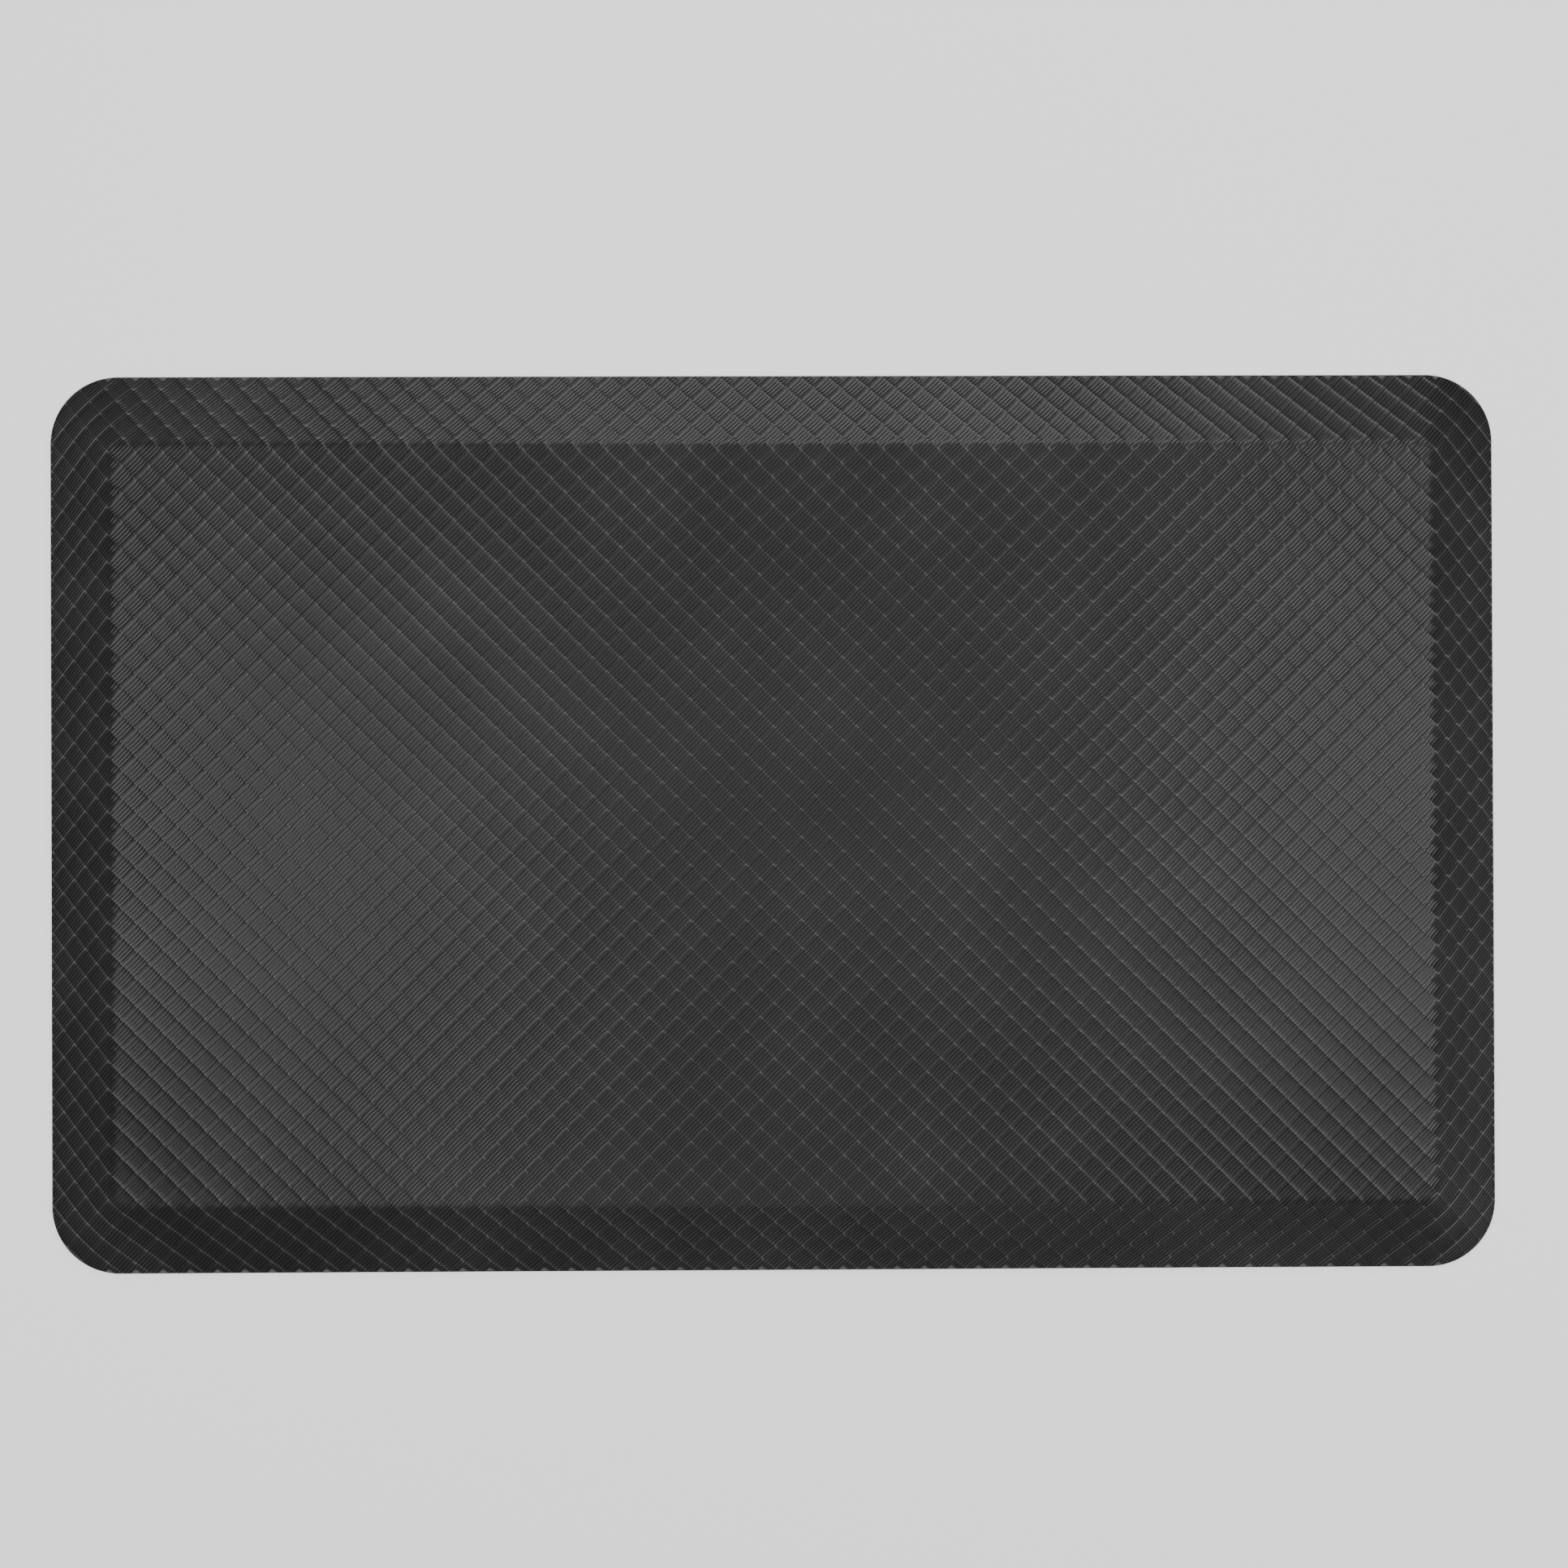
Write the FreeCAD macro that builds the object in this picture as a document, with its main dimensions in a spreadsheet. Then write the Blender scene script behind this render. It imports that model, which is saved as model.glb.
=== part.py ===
# Anti-fatigue standing mat: a soft slab, bevelled on all four sides, bonded from
# four layers.
#
# A foam core lies on a non-slip base sheet.  An embossed vinyl skin with a knitted
# backing wraps the core from above, and is welded to the base sheet along a narrow
# seam that runs round the whole outline.
#
# Frame: origin at the middle of the underside, +X along the long side, +Y along the
# short side, +Z up.  All sizes are millimetres.

import FreeCAD, Part
import math
import os

import Sketcher

# ---------------------------------------------------------------- driving sizes

SIZES = {
    "mat_length": "813",  # outline, long side
    "mat_width": "504",  # outline, short side
    "mat_height": "19",  # floor to standing surface
    "corner_radius": "38",  # outline corners, seen from above
    "bevel_width": "42",  # outline to the edge of the standing surface
    "edge_height": "3.2",  # upright rim at the outline, base sheet included
    "plateau_radius": "5",  # corners of the standing surface
    "skin_thickness": "1.0",  # embossed vinyl
    "fabric_thickness": "0.4",  # knitted backing, laminated under the vinyl
    "base_thickness": "1.6",  # non-slip sheet
    "seam_width": "4",  # outline to the foam, where skin and base are welded
}

doc = FreeCAD.newDocument("AntiFatigueMat")
sizes = doc.addObject("Spreadsheet::Sheet", "Sizes")
for row, (alias, value) in enumerate(SIZES.items(), start=1):
    sizes.set(f"A{row}", alias)
    sizes.set(f"B{row}", value)
    sizes.setAlias(f"B{row}", alias)
doc.recompute()

# ------------------------------------------------------------- shared formulas
#
# The mat rises in a straight bevel from its rim to the standing surface.  Every
# layer inside is the same form, sunk by the thickness of what covers it.  Sinking
# a slope by a thickness lowers it by thickness / cos(slope), and moves the line
# where it meets the flat top inwards by thickness * tan(slope / 2).

SLOPE = "atan((Sizes.mat_height - Sizes.edge_height) / Sizes.bevel_width)"


def inner_form(sunk, inset):
    """Expressions for the form that lies `sunk` below the surface and `inset` inside the outline."""
    shift = f"{sunk} * tan({SLOPE} / 2)"
    return {
        "inset": inset,
        "radius": f"Sizes.corner_radius - {inset}",
        "shoulder": f"Sizes.edge_height + {inset} * tan({SLOPE}) - {sunk} / cos({SLOPE})",
        "top_inset": f"(Sizes.bevel_width + {shift})",
        "top_radius": f"Sizes.plateau_radius - {shift}",
        "top": f"Sizes.mat_height - {sunk}",
    }


WHOLE_MAT = inner_form("0", "0")
UNDER_SKIN = inner_form("Sizes.skin_thickness", "(Sizes.seam_width - Sizes.fabric_thickness)")
UNDER_FABRIC = inner_form("(Sizes.skin_thickness + Sizes.fabric_thickness)", "Sizes.seam_width")


# -------------------------------------------------------------- sketch outline


def outline(body, name, inset, radius, height):
    """A centred rectangle with round corners, `inset` inside the mat's own outline."""
    sketch = body.newObject("Sketcher::SketchObject", name)
    floor = next(plane for plane in body.Origin.OriginFeatures if plane.Role == "XY_Plane")
    sketch.AttachmentSupport = [(floor, "")]
    sketch.MapMode = "FlatFace"
    sketch.setExpression("AttachmentOffset.Base.z", height)

    # A start shape, which the constraints below bring to size.
    half_length, half_width, bend = 400.0, 250.0, 10.0
    up = FreeCAD.Vector(0, 0, 1)
    quarter = math.pi / 2
    corners = []
    for turn, (x_side, y_side) in enumerate([(1, 1), (-1, 1), (-1, -1), (1, -1)]):
        centre = FreeCAD.Vector(x_side * (half_length - bend), y_side * (half_width - bend), 0)
        arc = Part.ArcOfCircle(Part.Circle(centre, up, bend), turn * quarter, (turn + 1) * quarter)
        corners.append(sketch.addGeometry(arc, False))
    sides = []
    for turn in range(4):
        start = sketch.getPoint(corners[turn], 2)
        end = sketch.getPoint(corners[(turn + 1) % 4], 1)
        sides.append(sketch.addGeometry(Part.LineSegment(start, end), False))
    back, left, front, right = sides

    def constrain(*what):
        return sketch.addConstraint(Sketcher.Constraint(*what))

    for turn in range(4):
        constrain("Tangent", corners[turn], 2, sides[turn], 1)
        constrain("Tangent", sides[turn], 2, corners[(turn + 1) % 4], 1)
    for side in (back, front):
        constrain("Horizontal", side)
    for side in (left, right):
        constrain("Vertical", side)
    for corner in corners[1:]:
        constrain("Equal", corners[0], corner)
    constrain("Symmetric", corners[0], 3, corners[2], 3, -1, 1)

    measures = {
        "corner": (constrain("Radius", corners[0], bend), radius),
        "length": (
            constrain("DistanceX", left, 1, right, 1, 2 * half_length),
            f"Sizes.mat_length - 2 * {inset}",
        ),
        "width": (
            constrain("DistanceY", front, 1, back, 1, 2 * half_width),
            f"Sizes.mat_width - 2 * {inset}",
        ),
    }
    for measure, (index, expression) in measures.items():
        sketch.renameConstraint(index, measure)
        sketch.setExpression(f"Constraints.{measure}", expression)
    return sketch


# --------------------------------------------------------------- build features


def new_body(node):
    body = doc.addObject("PartDesign::Body", node)
    body.Label = node
    return body


def add_form(body, name, form, cut=False):
    """Adds (or cuts away) one bevelled form: an upright rim from the base sheet, then the bevel."""
    base = "Sizes.base_thickness"
    foot = outline(body, f"{name}_foot", form["inset"], form["radius"], base)
    rim = body.newObject("PartDesign::Pocket" if cut else "PartDesign::Pad", f"{name}_rim")
    rim.Profile = foot
    rim.Reversed = cut
    rim.setExpression("Length", f"{form['shoulder']} - {base}")

    shoulder = outline(body, f"{name}_shoulder", form["inset"], form["radius"], form["shoulder"])
    top = outline(body, f"{name}_top", form["top_inset"], form["top_radius"], form["top"])
    kind = "PartDesign::SubtractiveLoft" if cut else "PartDesign::AdditiveLoft"
    bevel = body.newObject(kind, f"{name}_bevel")
    bevel.Profile = shoulder
    bevel.Sections = [top]
    bevel.Ruled = True
    body.Tip = bevel
    return bevel


# ---------------------------------------------------------------- the four layers


def grip_base():
    """Non-slip sheet that lies on the floor, as wide as the mat."""
    body = new_body("grip_base")
    sheet = body.newObject("PartDesign::Pad", "sheet")
    sheet.Profile = outline(body, "sheet_outline", "0", "Sizes.corner_radius", "0")
    sheet.setExpression("Length", "Sizes.base_thickness")
    body.Tip = sheet
    return body


def foam_core():
    """High-density foam slab with bevelled sides, which gives the mat its height."""
    body = new_body("foam_core")
    add_form(body, "core", UNDER_FABRIC)
    return body


def backing_fabric():
    """Knitted backing of the vinyl, bonded to the whole top and bevel of the foam."""
    body = new_body("backing_fabric")
    add_form(body, "fabric", UNDER_SKIN)
    add_form(body, "fabric_room", UNDER_FABRIC, cut=True)
    return body


def cover_skin():
    """Embossed vinyl: standing surface, bevels and rim, welded to the base sheet."""
    body = new_body("cover_skin")
    add_form(body, "skin", WHOLE_MAT)
    add_form(body, "skin_room", UNDER_SKIN, cut=True)
    return body


LAYERS = [grip_base(), foam_core(), backing_fabric(), cover_skin()]
doc.recompute()

# ------------------------------------------------------------- check and export

for item in doc.Objects:
    if "Invalid" in item.State or "Error" in item.State:
        raise RuntimeError(f"{item.Label} did not build: {item.State}")

os.makedirs("parts", exist_ok=True)
for layer in LAYERS:
    shape = layer.Shape
    if shape.isNull() or not shape.isValid() or len(shape.Solids) != 1:
        raise RuntimeError(f"{layer.Label} is not one sound solid")
    shape.exportStep(f"parts/{layer.Label}.step")
    print(f"{layer.Label}: {shape.Volume / 1000:.1f} cm3, box {shape.BoundBox}")
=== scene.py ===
# Anti-fatigue standing mat: a non-slip base sheet, a bevelled foam core, a knitted
# backing and an embossed vinyl cover, in the order in which they are put together.
# Lengths are metres, in the frame of the design: +X along the long side, +Y along
# the short side, +Z up, with the floor at zero.

import math

import bmesh
import bpy
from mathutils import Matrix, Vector


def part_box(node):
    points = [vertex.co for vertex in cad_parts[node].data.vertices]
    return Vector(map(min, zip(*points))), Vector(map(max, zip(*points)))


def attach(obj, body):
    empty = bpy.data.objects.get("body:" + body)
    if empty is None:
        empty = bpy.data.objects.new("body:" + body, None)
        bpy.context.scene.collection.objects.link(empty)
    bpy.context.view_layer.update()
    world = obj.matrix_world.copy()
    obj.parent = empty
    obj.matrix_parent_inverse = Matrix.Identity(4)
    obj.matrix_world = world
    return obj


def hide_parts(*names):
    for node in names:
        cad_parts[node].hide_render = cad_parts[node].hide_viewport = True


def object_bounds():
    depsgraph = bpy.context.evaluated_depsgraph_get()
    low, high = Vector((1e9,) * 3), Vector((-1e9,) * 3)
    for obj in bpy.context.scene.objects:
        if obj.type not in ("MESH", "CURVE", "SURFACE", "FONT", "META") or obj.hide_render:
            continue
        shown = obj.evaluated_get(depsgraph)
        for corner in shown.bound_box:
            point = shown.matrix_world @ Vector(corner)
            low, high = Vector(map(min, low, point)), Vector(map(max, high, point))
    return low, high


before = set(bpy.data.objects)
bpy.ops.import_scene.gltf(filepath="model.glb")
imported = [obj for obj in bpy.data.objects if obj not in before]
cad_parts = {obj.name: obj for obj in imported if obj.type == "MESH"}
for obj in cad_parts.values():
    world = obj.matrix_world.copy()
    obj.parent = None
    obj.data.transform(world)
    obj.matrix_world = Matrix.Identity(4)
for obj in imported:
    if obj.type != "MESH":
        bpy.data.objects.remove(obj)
cad_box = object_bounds()

# ======================================================================== camera
# A camera on a stand, straight above the mat and barely off its middle.

camera = bpy.data.objects.new("overhead_camera", bpy.data.cameras.new("overhead_camera"))
bpy.context.scene.collection.objects.link(camera)
camera.location = (0.0013, 0.0203, 0.7334)
camera.rotation_euler = [math.radians(turn) for turn in (0.121, -0.322, -0.207)]
camera.data.sensor_width = 36.0
camera.data.lens = 29.75
bpy.context.scene.camera = camera

# ===================================================================== base sheet
# The non-slip sheet on the floor: soft black elastomer, calendered flat, with rows
# of low round studs moulded on its underside.  The skin is welded to its rim.

MM = 0.001


class Wire:
    """A socket of a node tree.  Sums on it add Math nodes to the tree."""

    def __init__(self, graph, socket):
        self.graph, self.socket = graph, socket

    def math(self, operation, *others):
        return self.graph.add("ShaderNodeMath", {"operation": operation}, [self, *others])

    def __add__(self, other):
        return self.math("ADD", other)

    def __sub__(self, other):
        return self.math("SUBTRACT", other)

    def __mul__(self, other):
        return self.math("MULTIPLY", other)

    def __truediv__(self, other):
        return self.math("DIVIDE", other)

    def __pow__(self, other):
        return self.math("POWER", other)

    def __abs__(self):
        return self.math("ABSOLUTE")

    def __rsub__(self, other):
        return self * -1 + other

    __radd__ = __add__
    __rmul__ = __mul__


class Graph:
    """A node tree under construction."""

    def __init__(self, tree):
        self.tree = tree

    def add(self, kind, settings=None, sockets=(), output=0):
        """Adds one node: its settings, then its sockets' values or links.

        Returns the Wire of one output, or the node itself if it has none.
        """
        node = self.tree.nodes.new(kind)
        for name, value in (settings or {}).items():
            if name == "stops":
                self.set_stops(node.color_ramp, value)
            else:
                setattr(node, name, value)
        pairs = sockets.items() if isinstance(sockets, dict) else enumerate(sockets)
        for key, value in pairs:
            if isinstance(value, Wire):
                self.tree.links.new(value.socket, node.inputs[key])
            else:
                node.inputs[key].default_value = value
        return Wire(self, node.outputs[output]) if node.outputs else node

    @staticmethod
    def set_stops(ramp, stops):
        while len(ramp.elements) < len(stops):
            ramp.elements.new(1.0)
        for element, (position, colour) in zip(ramp.elements, stops):
            element.position = position
            element.color = (*colour, 1.0)

    def split(self, vector):
        """The X, Y and Z of a vector."""
        node = self.add("ShaderNodeSeparateXYZ", sockets=[vector]).socket.node
        return [Wire(self, output) for output in node.outputs]


class Form:
    """A centred rectangle with round corners: one outline of the bevelled form."""

    def __init__(self, length, width, radius, height):
        self.length, self.width, self.radius, self.height = length, width, radius, height

    def corners(self):
        """The centre of each corner's arc and the angle where the arc starts, anticlockwise."""
        x, y = self.length / 2 - self.radius, self.width / 2 - self.radius
        signs = [(1, 1), (-1, 1), (-1, -1), (1, -1)]
        return [(sx * x, sy * y, turn * math.pi / 2) for turn, (sx, sy) in enumerate(signs)]

    def points(self, steps):
        """Points round the outline, with `steps` chords in each corner."""
        ring = []
        for x, y, start in self.corners():
            for step in range(steps + 1):
                angle = start + step * math.pi / 2 / steps
                ring.append(
                    Vector(
                        (
                            x + self.radius * math.cos(angle),
                            y + self.radius * math.sin(angle),
                            self.height,
                        )
                    )
                )
        return ring

    def matching(self, point, other):
        """The point of another outline that matches a point near this one."""
        x, y = abs(point.x), abs(point.y)
        mid_x, mid_y = self.length / 2 - self.radius, self.width / 2 - self.radius
        other_x, other_y = other.length / 2 - other.radius, other.width / 2 - other.radius
        if x > mid_x and y > mid_y:
            angle = math.atan2(y - mid_y, x - mid_x)
            x = other_x + other.radius * math.cos(angle)
            y = other_y + other.radius * math.sin(angle)
        elif x > mid_x:
            x, y = other.length / 2, y / mid_y * other_y
        else:
            x, y = x / mid_x * other_x, other.width / 2
        return Vector((math.copysign(x, point.x), math.copysign(y, point.y), other.height))


def new_piece(name, mesh):
    """A finished mesh as a piece of the mat, riding with the whole."""
    piece = bpy.data.objects.new(name, mesh)
    bpy.context.scene.collection.objects.link(piece)
    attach(piece, "root")
    return piece


def mesh_from(name, bm):
    """Turns a bmesh into a smooth-shaded mesh with outward faces."""
    bmesh.ops.recalc_face_normals(bm, faces=bm.faces)
    mesh = bpy.data.meshes.new(name)
    bm.to_mesh(mesh)
    bm.free()
    mesh.polygons.foreach_set("use_smooth", [True] * len(mesh.polygons))
    return mesh


def stacked(rings):
    """A closed bmesh whose rings of points are joined in order and capped at both ends."""
    bm = bmesh.new()
    loops = [[bm.verts.new(point) for point in ring] for ring in rings]
    count = len(loops[0])
    for low, high in zip(loops, loops[1:]):
        for here in range(count):
            there = (here + 1) % count
            bm.faces.new((low[here], low[there], high[there], high[here]))
    bm.faces.new(loops[0][::-1])
    bm.faces.new(loops[-1])
    return bm


def modify_with(tree, mesh, values):
    """Runs a geometry tree once over a mesh and returns the plain mesh that comes out."""
    bench = bpy.data.objects.new("bench", mesh)
    bpy.context.scene.collection.objects.link(bench)
    modifier = bench.modifiers.new(tree.name, "NODES")
    modifier.node_group = tree
    for item in tree.interface.items_tree:
        if item.in_out == "INPUT" and item.name in values:
            modifier[item.identifier] = values[item.name]
    depsgraph = bpy.context.evaluated_depsgraph_get()
    made = bpy.data.meshes.new_from_object(bench.evaluated_get(depsgraph), depsgraph=depsgraph)
    bench.modifiers.remove(modifier)
    bpy.data.objects.remove(bench)
    made.name = tree.name
    return made


def geometry_tree(name, inputs):
    """An empty geometry tree with float inputs.

    Returns its Graph, the mesh that comes in, and the inputs by name.
    """
    tree = bpy.data.node_groups.new(name, "GeometryNodeTree")
    tree.interface.new_socket("Mesh", in_out="INPUT", socket_type="NodeSocketGeometry")
    for socket_name in inputs:
        tree.interface.new_socket(socket_name, in_out="INPUT", socket_type="NodeSocketFloat")
    tree.interface.new_socket("Mesh", in_out="OUTPUT", socket_type="NodeSocketGeometry")
    graph = Graph(tree)
    group = tree.nodes.new("NodeGroupInput")
    wires = {socket.name: Wire(graph, socket) for socket in group.outputs if socket.name}
    return graph, wires.pop("Mesh"), wires


def finish_tree(graph, mesh, material):
    """Ends a geometry tree: real geometry with its material."""
    real = graph.add("GeometryNodeRealizeInstances", sockets=[mesh])
    painted = graph.add("GeometryNodeSetMaterial", sockets={"Geometry": real, "Material": material})
    graph.add("NodeGroupOutput", sockets=[painted])
    return graph.tree


def new_material(name):
    """A material with only a Principled shader.

    Returns the material, its Graph and the shader node.
    """
    material = bpy.data.materials.new(name)
    material.use_nodes = True
    graph = Graph(material.node_tree)
    shader = material.node_tree.nodes["Principled BSDF"]
    return material, graph, shader


def feed(graph, node, **values):
    """Sets or links a node's sockets.  An underscore in a keyword stands for a space."""
    for key, value in values.items():
        socket = node.inputs[key.replace("_", " ")]
        if isinstance(value, Wire):
            graph.tree.links.new(value.socket, socket)
        else:
            socket.default_value = value


def grip_material():
    """Matt black elastomer with a fine leathery grain."""
    material, graph, shader = new_material("grip_elastomer")
    place = graph.add("ShaderNodeTexCoord", output=3)
    grain = graph.add("ShaderNodeTexNoise", {}, {"Vector": place, "Scale": 1400.0, "Detail": 3.0})
    cloud = graph.add("ShaderNodeTexNoise", {}, {"Vector": place, "Scale": 9.0, "Detail": 2.0})
    colour = graph.add(
        "ShaderNodeValToRGB",
        {"stops": [(0.3, (0.016, 0.016, 0.017)), (0.7, (0.026, 0.026, 0.027))]},
        [cloud],
    )
    bump = graph.add("ShaderNodeBump", {}, {"Strength": 0.5, "Distance": 0.0002, "Height": grain})
    feed(graph, shader, Base_Color=colour, Roughness=0.62 + cloud * 0.16, Normal=bump)
    return material


rim_low, rim_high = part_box("grip_base")
mat_length, mat_width = rim_high.x - rim_low.x, rim_high.y - rim_low.y
corner_radius = 38 * MM
corner_steps = 14
stud_height = 0.45 * MM


def stud_tree():
    """Round studs in staggered rows on the underside, clear of the rim."""
    graph, sheet, size = geometry_tree(
        "stud_rows",
        ["Length", "Width", "Corner radius", "Spacing", "Stud radius", "Stud height", "Margin"],
    )
    rows = graph.add(
        "GeometryNodeMeshGrid",
        sockets={
            "Size X": size["Length"],
            "Size Y": size["Width"],
            "Vertices X": graph.add(
                "FunctionNodeFloatToInt", {}, [size["Length"] / size["Spacing"] + 1]
            ),
            "Vertices Y": graph.add(
                "FunctionNodeFloatToInt", {}, [size["Width"] / size["Spacing"] * 2 + 1]
            ),
        },
    )
    x, y, _ = graph.split(graph.add("GeometryNodeInputPosition"))
    row = (y / size["Spacing"] * 2).math("ROUND")
    stagger = row.math("FLOORED_MODULO", 2.0) * size["Spacing"] * 0.5
    shift = graph.add("ShaderNodeCombineXYZ", sockets=[stagger, 0.0, size["Stud height"]])
    rows = graph.add("GeometryNodeSetPosition", sockets={"Geometry": rows, "Offset": shift})

    # How far a point stands inside the rounded outline.
    across = (abs(x) - size["Length"] / 2 + size["Corner radius"]).math("MAXIMUM", 0.0)
    along = (abs(y) - size["Width"] / 2 + size["Corner radius"]).math("MAXIMUM", 0.0)
    outward = (across * across + along * along).math("SQRT")
    inside = outward.math("LESS_THAN", size["Corner radius"] - size["Margin"])
    stud = graph.add(
        "GeometryNodeMeshCone",
        {"fill_type": "NGON"},
        {
            "Vertices": 12,
            "Radius Top": size["Stud radius"] * 0.62,
            "Radius Bottom": size["Stud radius"],
            "Depth": size["Stud height"],
        },
    )
    studs = graph.add(
        "GeometryNodeInstanceOnPoints",
        sockets={"Points": rows, "Selection": inside, "Instance": stud},
    )
    downwards = graph.add(
        "GeometryNodeRotateInstances", sockets={"Instances": studs, "Rotation": (math.pi, 0, 0)}
    )
    joined = graph.add("GeometryNodeJoinGeometry")
    graph.tree.links.new(sheet.socket, joined.socket.node.inputs[0])
    graph.tree.links.new(downwards.socket, joined.socket.node.inputs[0])
    return finish_tree(graph, joined, grip_material())


def base_sheet():
    """The flat sheet itself, its lower edge eased."""
    ease, thick = 0.3 * MM, rim_high.z
    rings = [
        Form(mat_length - 2 * ease, mat_width - 2 * ease, corner_radius - ease, stud_height),
        Form(mat_length, mat_width, corner_radius, stud_height + ease),
        Form(mat_length, mat_width, corner_radius, thick),
    ]
    return mesh_from("base_sheet", stacked([ring.points(corner_steps) for ring in rings]))


stud_sizes = {
    "Length": mat_length,
    "Width": mat_width,
    "Corner radius": corner_radius,
    "Spacing": 18 * MM,
    "Stud radius": 2.8 * MM,
    "Stud height": stud_height,
    "Margin": 9 * MM,
}
grip_sheet = new_piece("grip_sheet", modify_with(stud_tree(), base_sheet(), stud_sizes))
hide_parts("grip_base")

# ====================================================================== foam core
# A die-cut slab of closed-cell foam, its four sides ground to a bevel.  It lies on
# the base sheet, set in from the rim by the width of the welded seam.

bevel_width = 42 * MM
edge_height = 3.2 * MM
plateau_radius = 5 * MM
mat_height = cad_box[1][2]
slope = math.atan2(mat_height - edge_height, bevel_width)
base_thickness = rim_high.z


def layer_rings(sunk, inset, soften=0.0):
    """Outlines of the form `sunk` below the surface and `inset` inside the rim, lowest first."""
    shift = sunk * math.tan(slope / 2)
    shoulder = edge_height + inset * math.tan(slope) - sunk / math.cos(slope)

    def ring(share, drop=0.0):
        """An outline on the bevel: share 0 is the shoulder and 1 the top."""
        inward = inset + share * (bevel_width + shift - inset)
        radius = (corner_radius - inset) * (1 - share) + (plateau_radius - shift) * share
        height = shoulder + share * (mat_height - sunk - shoulder) - drop
        return Form(mat_length - 2 * inward, mat_width - 2 * inward, radius, height)

    foot = ring(0)
    foot.height = base_thickness
    if not soften:
        return [foot, ring(0), ring(1)]
    flat = ring(1)
    top = Form(flat.length - 8 * soften, flat.width - 8 * soften, flat.radius * 0.5, flat.height)
    return [foot, ring(0), ring(0.04), ring(0.5), ring(0.96, soften * 0.05), ring(1, soften * 0.3), top]


def foam_material():
    """Charcoal closed-cell foam: fine rounded cells, some of them open."""
    material, graph, shader = new_material("closed_cell_foam")
    place = graph.add("ShaderNodeTexCoord", output=3)
    cells = graph.add(
        "ShaderNodeTexVoronoi", {"feature": "F1"}, {"Vector": place, "Scale": 1300.0}
    )
    cloud = graph.add("ShaderNodeTexNoise", {}, {"Vector": place, "Scale": 30.0, "Detail": 3.0})
    colour = graph.add(
        "ShaderNodeValToRGB",
        {"stops": [(0.0, (0.012, 0.012, 0.013)), (0.6, (0.045, 0.045, 0.047))]},
        [cells + cloud * 0.2],
    )
    bump = graph.add("ShaderNodeBump", {}, {"Strength": 0.8, "Distance": 0.0004, "Height": cells})
    feed(graph, shader, Base_Color=colour, Roughness=0.85 + cloud * 0.1, Normal=bump)
    return material


skin_thickness, fabric_thickness, seam_width = 1.0 * MM, 0.4 * MM, 4 * MM
foam_rings = layer_rings(skin_thickness + fabric_thickness, seam_width, soften=0.5 * MM)
foam_mesh = mesh_from("foam_slab", stacked([ring.points(corner_steps) for ring in foam_rings]))
foam_mesh.materials.append(foam_material())
foam_slab = new_piece("foam_slab", foam_mesh)
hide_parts("foam_core")

# ================================================================= backing fabric
# A charcoal polyester tricot that the vinyl is cast on.  It is stretched over the
# whole top and bevel of the foam, with its cut edge caught in the seam.


def knit_material():
    """Fine tricot: upright wales of small loops in dull charcoal yarn."""
    material, graph, shader = new_material("tricot_knit")
    x, y, _ = graph.split(graph.add("ShaderNodeTexCoord", output=3))
    wale_width, course_height = 0.9 * MM, 0.7 * MM
    wale = (x * (2 * math.pi / wale_width)).math("COSINE")
    lean = wale.math("ABSOLUTE") * 1.6
    course = (y * (2 * math.pi / course_height) + lean).math("SINE")
    loops = (wale * 0.5 + 0.5).math("SQRT") * (course * 0.3 + 0.7)
    colour = graph.add(
        "ShaderNodeValToRGB",
        {"stops": [(0.1, (0.010, 0.010, 0.011)), (0.9, (0.055, 0.055, 0.058))]},
        [loops],
    )
    bump = graph.add("ShaderNodeBump", {}, {"Strength": 0.9, "Distance": 0.0003, "Height": loops})
    feed(graph, shader, Base_Color=colour, Roughness=0.9 - loops * 0.12, Normal=bump)
    shader.inputs["Sheen Weight"].default_value = 0.25
    return material


def shell_between(outer, inner):
    """A thin shell, open below, between two stacks of outlines."""
    rings = [ring.points(corner_steps) for ring in outer]
    rings += [ring.points(corner_steps) for ring in reversed(inner)]
    bm = bmesh.new()
    loops = [[bm.verts.new(point) for point in ring] for ring in rings]
    count, top = len(loops[0]), len(outer) - 1
    for index, low in enumerate(loops):
        high = loops[(index + 1) % len(loops)]
        if index != top:
            for here in range(count):
                there = (here + 1) % count
                bm.faces.new((low[here], low[there], high[there], high[here]))
    bm.faces.new(loops[top])
    bm.faces.new(loops[top + 1][::-1])
    return bm


knit_outer = layer_rings(skin_thickness, seam_width - fabric_thickness)
knit_inner = layer_rings(skin_thickness + fabric_thickness, seam_width)
knit_mesh = mesh_from("knit_backing", shell_between(knit_outer, knit_inner))
knit_mesh.materials.append(knit_material())
knit_backing = new_piece("knit_backing", knit_mesh)
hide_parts("backing_fabric")

# ===================================================================== cover skin
# Black vinyl, embossed by a hot roller: a diagonal grid of raised creases round
# shallow square dishes, with six fine ribs to each dish.  It is pressed round the
# foam and welded to the base along the rim.

cell_pitch = 10.8 * MM
ribs_per_cell = 6
dish_depth = (0.32 * MM, 0.25 * MM)  # across the ribs, along them
dish_power = 4.5
rib_height = 0.055 * MM
rib_end_power = 10
crest_power = 14
# Strengths of the painted shade in the rib grooves, the painted highlight on the creases, and the
# brighter painted highlight where the creases cross.
painted_groove_shade, painted_crest_highlight, painted_crossing_highlight = 0.3, 0.2, 0.7
grain_height = 0.0025 * MM
rim_ease = 0.4 * MM


def diagonal(x, y):
    """Distances, in cells, across the ribs and along them."""
    scale = 1 / (cell_pitch * math.sqrt(2))
    return (x - y) * scale, (x + y) * scale


def within_cell(distance):
    """Where a point stands in its cell: -0.5 and 0.5 are the creases."""
    return (distance + 0.5).math("FRACT") - 0.5


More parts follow.
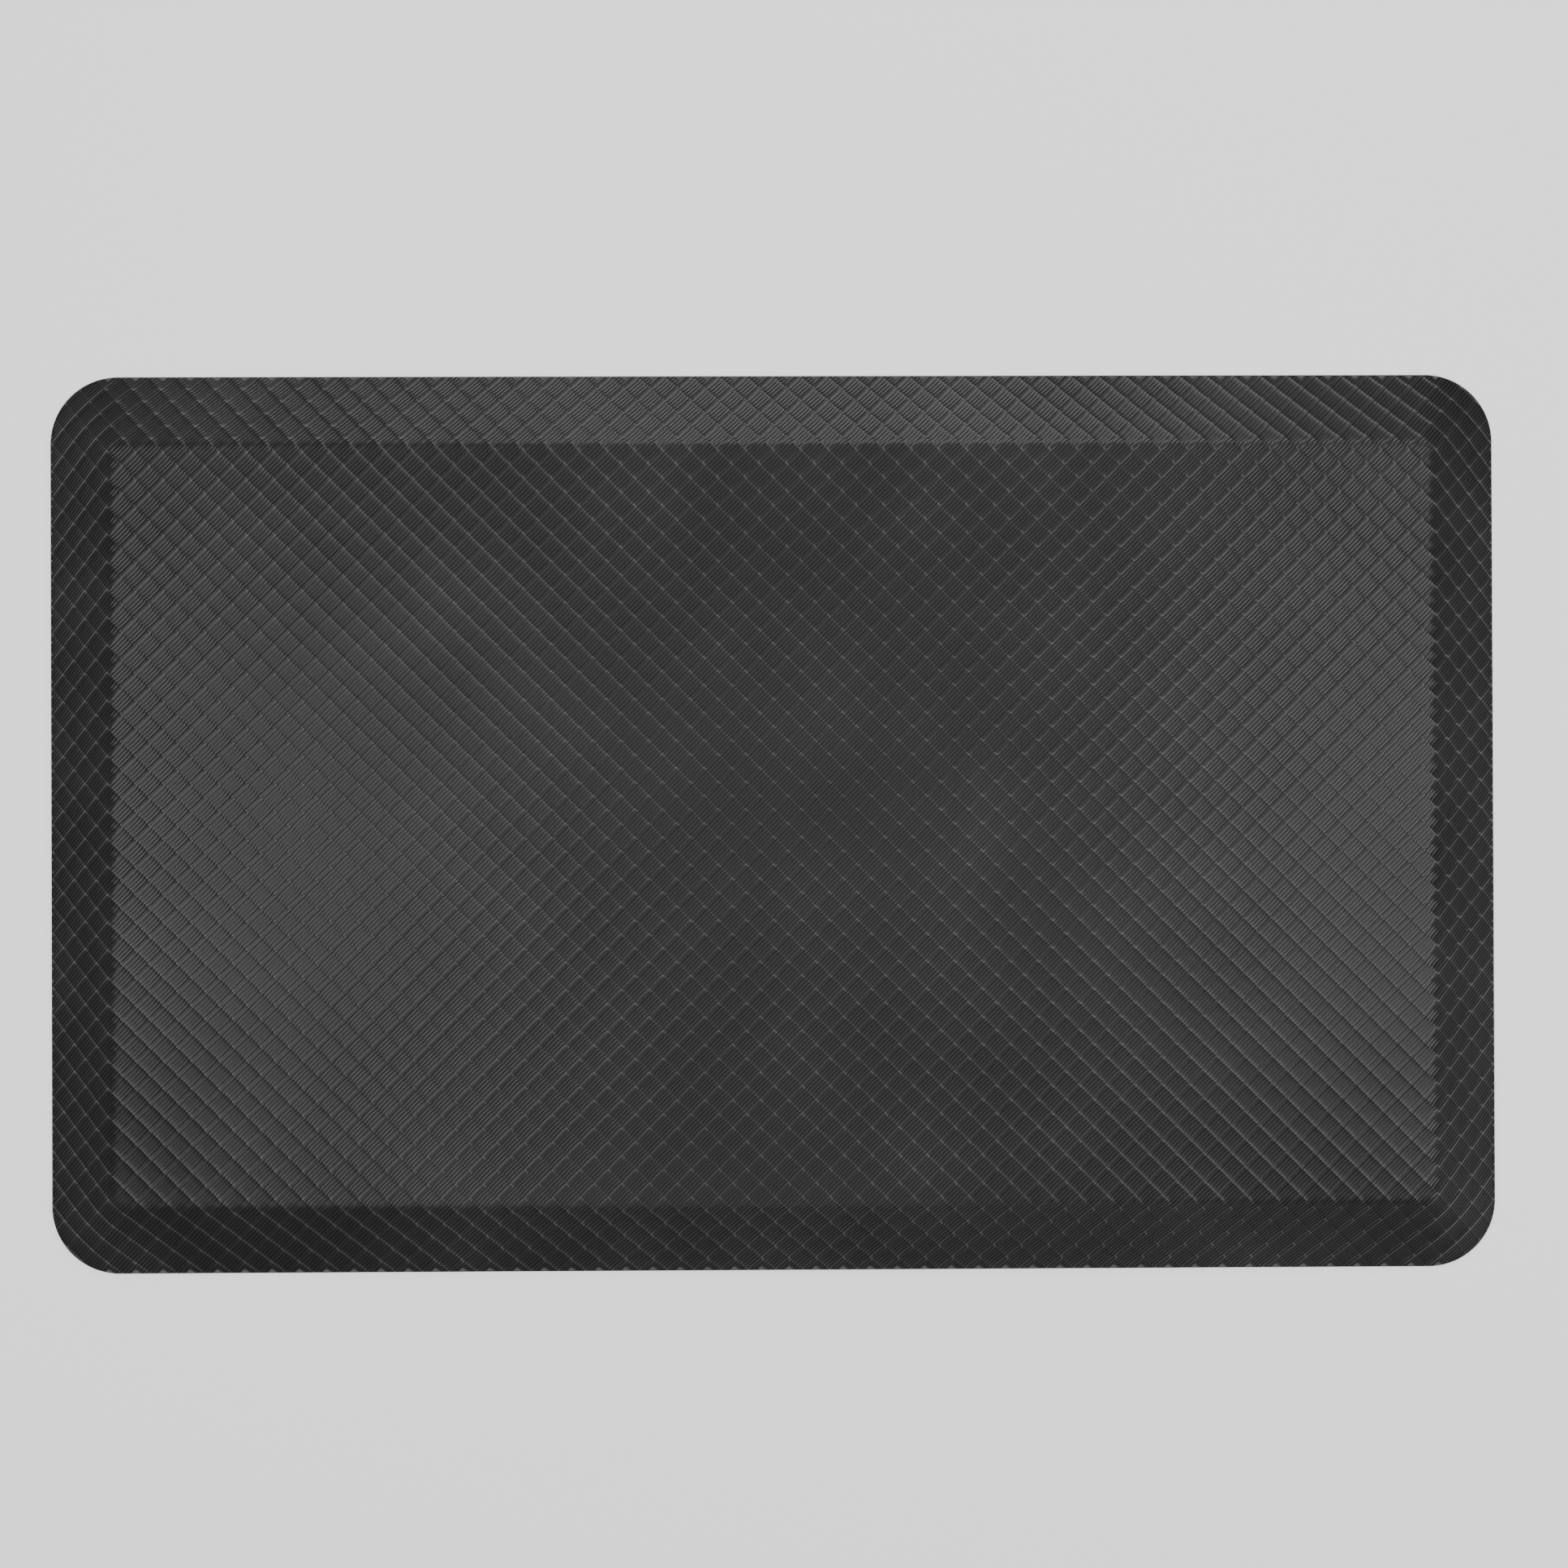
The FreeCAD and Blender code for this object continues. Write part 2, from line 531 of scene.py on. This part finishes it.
def dish_drop(x, y):
    """How far the dished surface lies below the points where the creases cross."""
    drops = []
    for distance, depth in zip(diagonal(x, y), dish_depth):
        drops.append((1 - abs(within_cell(distance) * 2) ** dish_power) * depth)
    return drops[0] + drops[1]


def form_height(x, y, size):
    """Height of the plain bevelled form over a point of the plan."""
    across, along = abs(x), abs(y)
    half_length, half_width = size["Length"] / 2, size["Width"] / 2
    side = (half_length - across).math("MINIMUM", half_width - along) / size["Bevel width"]

    # The corners are ruled from the rim's arc to the plateau's smaller one, whose
    # middle lies further in.  The share t up the bevel solves a square equation.
    past_x = across - half_length + size["Corner radius"]
    past_y = along - half_width + size["Corner radius"]
    shrink = size["Corner radius"] - size["Plateau radius"]
    inwards = size["Bevel width"] - shrink
    a = inwards * inwards * 2 - shrink * shrink
    b = (past_x + past_y) * inwards * 2 + size["Corner radius"] * shrink * 2
    c = past_x * past_x + past_y * past_y - size["Corner radius"] * size["Corner radius"]
    root = (b * b - a * c * 4).math("MAXIMUM", 0.0).math("SQRT")
    corner = ((root - b) / (a * 2)).math("MAXIMUM", 0.0).math("MINIMUM", 1.0)
    in_corner = (past_x + inwards * corner).math("MINIMUM", past_y + inwards * corner)
    is_corner = in_corner.math("GREATER_THAN", 0.0)
    share = side * (1 - is_corner) + corner * is_corner
    share = share.math("SMOOTH_MIN", 1.0, size["Crease softness"] / size["Bevel width"])
    return share * (size["Height"] - size["Edge height"]) + size["Edge height"]


def vinyl_tree(material):
    """Raises the flat blank to the bevelled form and embosses the dishes."""
    graph, blank, size = geometry_tree(
        "bevelled_form",
        [
            "Length",
            "Width",
            "Height",
            "Corner radius",
            "Plateau radius",
            "Bevel width",
            "Edge height",
            "Crease softness",
            "Plain margin",
        ],
    )
    x, y, _ = graph.split(graph.add("GeometryNodeInputPosition"))
    height = form_height(x, y, size)
    step = 0.1 * MM
    rise_x = (form_height(x + step, y, size) - height) / step
    rise_y = (form_height(x, y + step, size) - height) / step
    upward = graph.add("ShaderNodeCombineXYZ", sockets=[rise_x * -1, rise_y * -1, 1.0])
    upward = graph.add("ShaderNodeVectorMath", {"operation": "NORMALIZE"}, [upward])

    # The emboss dies away towards the welded rim.
    rise = (size["Height"] - size["Edge height"]) / size["Bevel width"]
    from_rim = (height - size["Edge height"]) / rise
    strength = (from_rim / size["Plain margin"]).math("MINIMUM", 1.0)
    height = height - dish_drop(x, y) * strength

    named = graph.add(
        "GeometryNodeStoreNamedAttribute",
        {"data_type": "FLOAT_VECTOR", "domain": "POINT"},
        {"Geometry": blank, "Name": "form_normal", "Value": upward},
    )
    lift = graph.add("ShaderNodeCombineXYZ", sockets=[0.0, 0.0, height])
    raised = graph.add("GeometryNodeSetPosition", sockets={"Geometry": named, "Offset": lift})
    smooth = graph.add("GeometryNodeSetShadeSmooth", sockets=[raised])
    return finish_tree(graph, smooth, material)


def vinyl_finish(graph, shader, height, place, painted_shade_and_highlight=0.0, facing=None):
    """The vinyl's colour, gloss and grain, over a height in metres, with any painted shade and painted
    highlight that is passed in shifting the colour.
    """
    grain = graph.add("ShaderNodeTexNoise", {}, {"Vector": place, "Scale": 2600.0, "Detail": 2.0})
    cloud = graph.add("ShaderNodeTexNoise", {}, {"Vector": place, "Scale": 14.0, "Detail": 3.0})
    # Any painted shade and painted highlight passed in shift this colour darker or paler.
    colour = graph.add(
        "ShaderNodeValToRGB",
        {"stops": [(0.0, (0.002,) * 3), (0.65, (0.045,) * 3), (1.0, (0.24, 0.24, 0.243))]},
        [cloud * 0.3 + 0.5 - painted_shade_and_highlight],
    )
    height = grain * grain_height + height
    sockets = {"Strength": 1.0, "Distance": 1.0, "Filter Width": 0.02, "Height": height}
    if facing:
        sockets["Normal"] = facing
    bump = graph.add("ShaderNodeBump", {}, sockets)
    feed(graph, shader, Base_Color=colour, Roughness=0.27 + cloud * 0.04, Normal=bump)
    shader.inputs["Specular IOR Level"].default_value = 0.5


def embossed_material():
    """The embossed face: dishes, ribs and grain, with painted shade in the rib grooves and painted
    highlights on the creases and their crossings.
    """
    material, graph, shader = new_material("embossed_vinyl")
    place = graph.add("ShaderNodeTexCoord", output=3)
    x, y, _ = graph.split(place)
    across, along = (within_cell(distance) for distance in diagonal(x, y))
    rib = (across * (2 * math.pi * ribs_per_cell)).math("COSINE") * -1
    ends = 1 - abs(along * 2) ** rib_end_power
    height = rib * ends * rib_height - dish_drop(x, y)
    facing = graph.add(
        "ShaderNodeAttribute",
        {"attribute_type": "GEOMETRY", "attribute_name": "form_normal"},
        output=1,
    )
    facing = graph.add(
        "ShaderNodeVectorTransform",
        {"vector_type": "NORMAL", "convert_from": "OBJECT", "convert_to": "WORLD"},
        [facing],
    )
    # The grooves between the ribs get painted shade, a darker colour. The creases get a painted
    # highlight, a paler colour, and the points where they cross get the palest painted highlight.
    crest_highlight_across, crest_highlight_along = (abs(part * 2) ** crest_power for part in (across, along))
    painted_highlight = (crest_highlight_across + crest_highlight_along) * painted_crest_highlight
    painted_highlight = painted_highlight + crest_highlight_across * crest_highlight_along * painted_crossing_highlight
    vinyl_finish(graph, shader, height, place, (1 - rib) * painted_groove_shade - painted_highlight, facing)
    return material


def rim_material():
    """The welded rim and the hidden face: plain vinyl."""
    material, graph, shader = new_material("rim_vinyl")
    place = graph.add("ShaderNodeTexCoord", output=3)
    weld = graph.add("ShaderNodeTexNoise", {}, {"Vector": place, "Scale": 260.0, "Detail": 2.0})
    vinyl_finish(graph, shader, weld * (0.05 * MM), place)
    return material


blank_form = Form(
    mat_length - 2 * rim_ease, mat_width - 2 * rim_ease, corner_radius - rim_ease, 0.0
)


def vinyl_blank():
    """A flat piece of the diagonal grid, cut to the rounded outline."""
    stations = (-0.5, -0.42, -0.22, 0.22, 0.42)  # lines in one cell, closest at the crease
    strip_width, corner_depth, nearest = 12 * MM, 8 * MM, 0.3 * MM
    reach = math.ceil((mat_length + mat_width) / 2 / math.sqrt(2) / cell_pitch) + 1
    lines = [cell + station for cell in range(-reach, reach + 1) for station in stations]
    count = len(lines)
    half = cell_pitch / math.sqrt(2)
    points = [((u + v) * half, (v - u) * half, 0.0) for u in lines for v in lines]
    margin = 3 * MM
    keep_x, keep_y = mat_length / 2 + margin, mat_width / 2 + margin
    inside = [abs(x) < keep_x and abs(y) < keep_y for x, y, _ in points]
    quads = []
    for row in range(count - 1):
        for column in range(row * count, row * count + count - 1):
            quad = (column, column + count, column + count + 1, column + 1)
            if all(inside[corner] for corner in quad):
                quads.append(quad)
    mesh = bpy.data.meshes.new("blank")
    mesh.from_pydata(points, [], quads)
    bm = bmesh.new()
    bm.from_mesh(mesh)
    loose = [vert for vert in bm.verts if not vert.link_faces]
    bmesh.ops.delete(bm, geom=loose, context="VERTS")

    def cut(point, outward, faces):
        # Dicts and not sets, which would change the order of the cuts from run to run.
        edges = dict.fromkeys(edge for face in faces for edge in face.edges)
        verts = dict.fromkeys(vert for face in faces for vert in face.verts)
        bmesh.ops.bisect_plane(
            bm,
            geom=[*verts, *edges, *faces],
            dist=0.002 * MM,
            plane_co=point,
            plane_no=outward,
            clear_outer=True,
        )

    for x, y in ((1, 0), (-1, 0), (0, 1), (0, -1)):
        edge = Vector((x * blank_form.length / 2, y * blank_form.width / 2, 0))
        strip = [
            face
            for face in bm.faces
            if face.calc_center_median().dot((x, y, 0)) > edge.length - strip_width
        ]
        cut(edge, Vector((x, y, 0)), strip)
    for mid_x, mid_y, start in blank_form.corners():
        for step in range(2 * corner_steps):
            angle = start + (step + 0.5) * math.pi / 4 / corner_steps
            outward = Vector((math.cos(angle), math.sin(angle), 0))
            middle = Vector((mid_x, mid_y, 0))
            reach_out = blank_form.radius - corner_depth
            near = [
                f
                for f in bm.faces
                if (f.calc_center_median() - middle).dot(outward) > reach_out
                and abs((f.calc_center_median() - middle).cross(outward).z) < blank_form.radius
            ]
            cut(middle + outward * blank_form.radius, outward, near)
    bmesh.ops.remove_doubles(bm, verts=bm.verts, dist=nearest)
    bm.to_mesh(mesh)
    bm.free()
    return mesh


def rim_loop(bm):
    """The open edge of a mesh, as its points in order."""
    start = next(edge for edge in bm.edges if edge.is_boundary)
    loop, edge = [start.verts[0]], start
    while True:
        vert = edge.other_vert(loop[-1])
        if vert == loop[0]:
            return loop
        loop.append(vert)
        edge = next(e for e in vert.link_edges if e.is_boundary and e != edge)


def close_cover(bm):
    """Turns the rim down, brings it in under the foam's edge, and lines the cover inside."""
    weld = 0.15 * MM
    rings = [
        Form(mat_length, mat_width, corner_radius, edge_height - rim_ease),
        Form(mat_length, mat_width, corner_radius, base_thickness + weld),
        Form(mat_length - weld, mat_width - weld, corner_radius - weld / 2, base_thickness),
        *layer_rings(skin_thickness, seam_width - fabric_thickness),
    ]
    loop = rim_loop(bm)
    last = loop
    for form in rings:
        ring = [bm.verts.new(blank_form.matching(vert.co, form)) for vert in loop]
        for here, vert in enumerate(ring):
            there = (here + 1) % len(ring)
            face = bm.faces.new((last[here], last[there], ring[there], vert))
            face.material_index = 1
        last = ring
    bm.faces.new(last).material_index = 1


embossed = embossed_material()
form_sizes = {
    "Length": mat_length,
    "Width": mat_width,
    "Height": mat_height,
    "Corner radius": corner_radius,
    "Plateau radius": plateau_radius,
    "Bevel width": bevel_width,
    "Edge height": edge_height,
    "Crease softness": 2 * MM,
    "Plain margin": 1.5 * MM,
}
cover_bm = bmesh.new()
cover_bm.from_mesh(modify_with(vinyl_tree(embossed), vinyl_blank(), form_sizes))
close_cover(cover_bm)
cover_mesh = mesh_from("embossed_cover", cover_bm)
cover_mesh.materials.append(embossed)
cover_mesh.materials.append(rim_material())
embossed_cover = new_piece("embossed_cover", cover_mesh)
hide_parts("cover_skin")

# =============================================================== floor and lights
# A plain pale floor, soft studio lights to the right, the left, behind and in front
# of the mat, and a wide dim panel overhead.

floor_material, floor_graph, floor_shader = new_material("studio_floor")
floor_place = floor_graph.add("ShaderNodeTexCoord", output=3)
floor_cloud = floor_graph.add("ShaderNodeTexNoise", {}, {"Vector": floor_place, "Scale": 2.0})
feed(floor_graph, floor_shader, Roughness=0.85 + floor_cloud * 0.05)
floor_shader.inputs["Base Color"].default_value = (0.93, 0.93, 0.93, 1)
floor_shader.inputs["Emission Color"].default_value = (1, 1, 1, 1)
floor_shader.inputs["Emission Strength"].default_value = 0.9
floor_shader.inputs["Specular IOR Level"].default_value = 0.1
floor_mesh = bpy.data.meshes.new("studio_floor")
reach = 6
floor_corners = [(-reach, -reach, 0), (reach, -reach, 0), (reach, reach, 0), (-reach, reach, 0)]
floor_mesh.from_pydata(floor_corners, [], [(0, 1, 2, 3)])
floor_mesh.materials.append(floor_material)
studio_floor = bpy.data.objects.new("studio_floor", floor_mesh)
bpy.context.scene.collection.objects.link(studio_floor)

world = bpy.data.worlds.new("studio")
world.use_nodes = True
world.node_tree.nodes["Background"].inputs["Color"].default_value = (1, 1, 1, 1)
world.node_tree.nodes["Background"].inputs["Strength"].default_value = 0.1
bpy.context.scene.world = world


def softbox(name, place, towards, size, power):
    """A rectangular light at a place, turned towards a point of the mat."""
    light = bpy.data.lights.new(name, "AREA")
    light.shape = "RECTANGLE"
    light.size, light.size_y = size
    light.energy = power
    lamp = bpy.data.objects.new(name, light)
    bpy.context.scene.collection.objects.link(lamp)
    lamp.location = place
    aim = Vector(towards) - Vector(place)
    lamp.rotation_euler = aim.to_track_quat("-Z", "Y").to_euler()


# Name, place, the point it is turned towards, size, and power in watts.
softbox("right_softbox", (0.9, -0.05, 0.85), (0.2, 0, 0), (0.9, 0.28), 3.2)
softbox("left_softbox", (-0.65, -0.05, 0.85), (-0.2, 0, 0), (0.9, 0.25), 1.9)
softbox("back_softbox", (0.15, 1.15, 0.87), (0.1, 0.1, 0), (1.5, 0.3), 6.5)
softbox("front_softbox", (0.0, -1.0, 0.9), (0, -0.1, 0), (1.2, 0.3), 1.5)
softbox("overhead_panel", (0.0, 0.0, 1.9), (0, 0, 0), (2.4, 1.6), 8.5)
